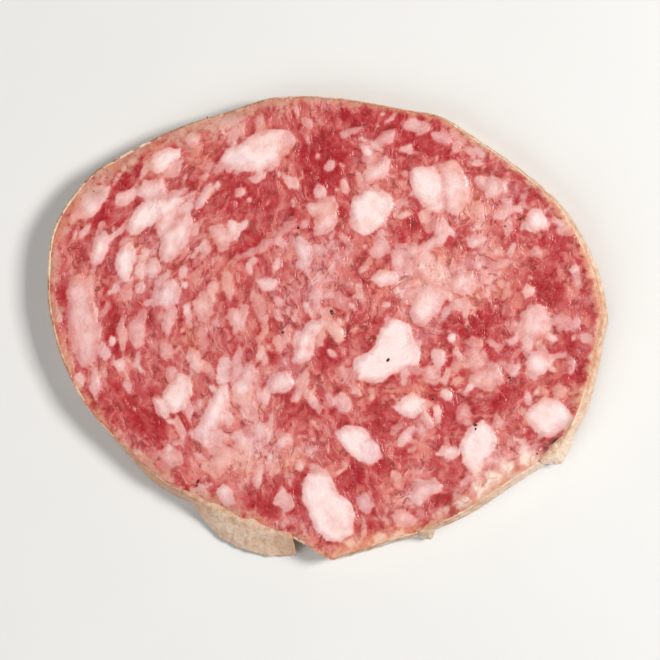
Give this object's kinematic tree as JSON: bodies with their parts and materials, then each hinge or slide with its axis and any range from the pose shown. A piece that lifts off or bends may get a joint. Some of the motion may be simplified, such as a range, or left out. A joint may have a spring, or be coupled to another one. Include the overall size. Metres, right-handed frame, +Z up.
{
  "type": "cured sausage slice",
  "caption": "Slice of coarse-cut dry-cured sausage: oval, lying flat, with marbled cut faces, a thin natural skin round its side and a loose torn flap of skin.",
  "frame": {"origin": "middle of the slice's box, on the plane that the slice rests on", "axes": "+Z up through the slice's thickness, +X along its longer width, towards the side where the skin shows from above, +Y away from the edge with the loose flap of skin"},
  "size_m": [0.0718, 0.0594, 0.0046],
  "materials": {
    "cured_meat": "moist satin, lean marbled with pale fat",
    "natural_skin": "dry matt skin with a pale bloom",
    "pepper": "matt cracked grain"
  },
  "bodies": {
    "root": {"slice": "cured_meat"}
  },
  "joints": []
}
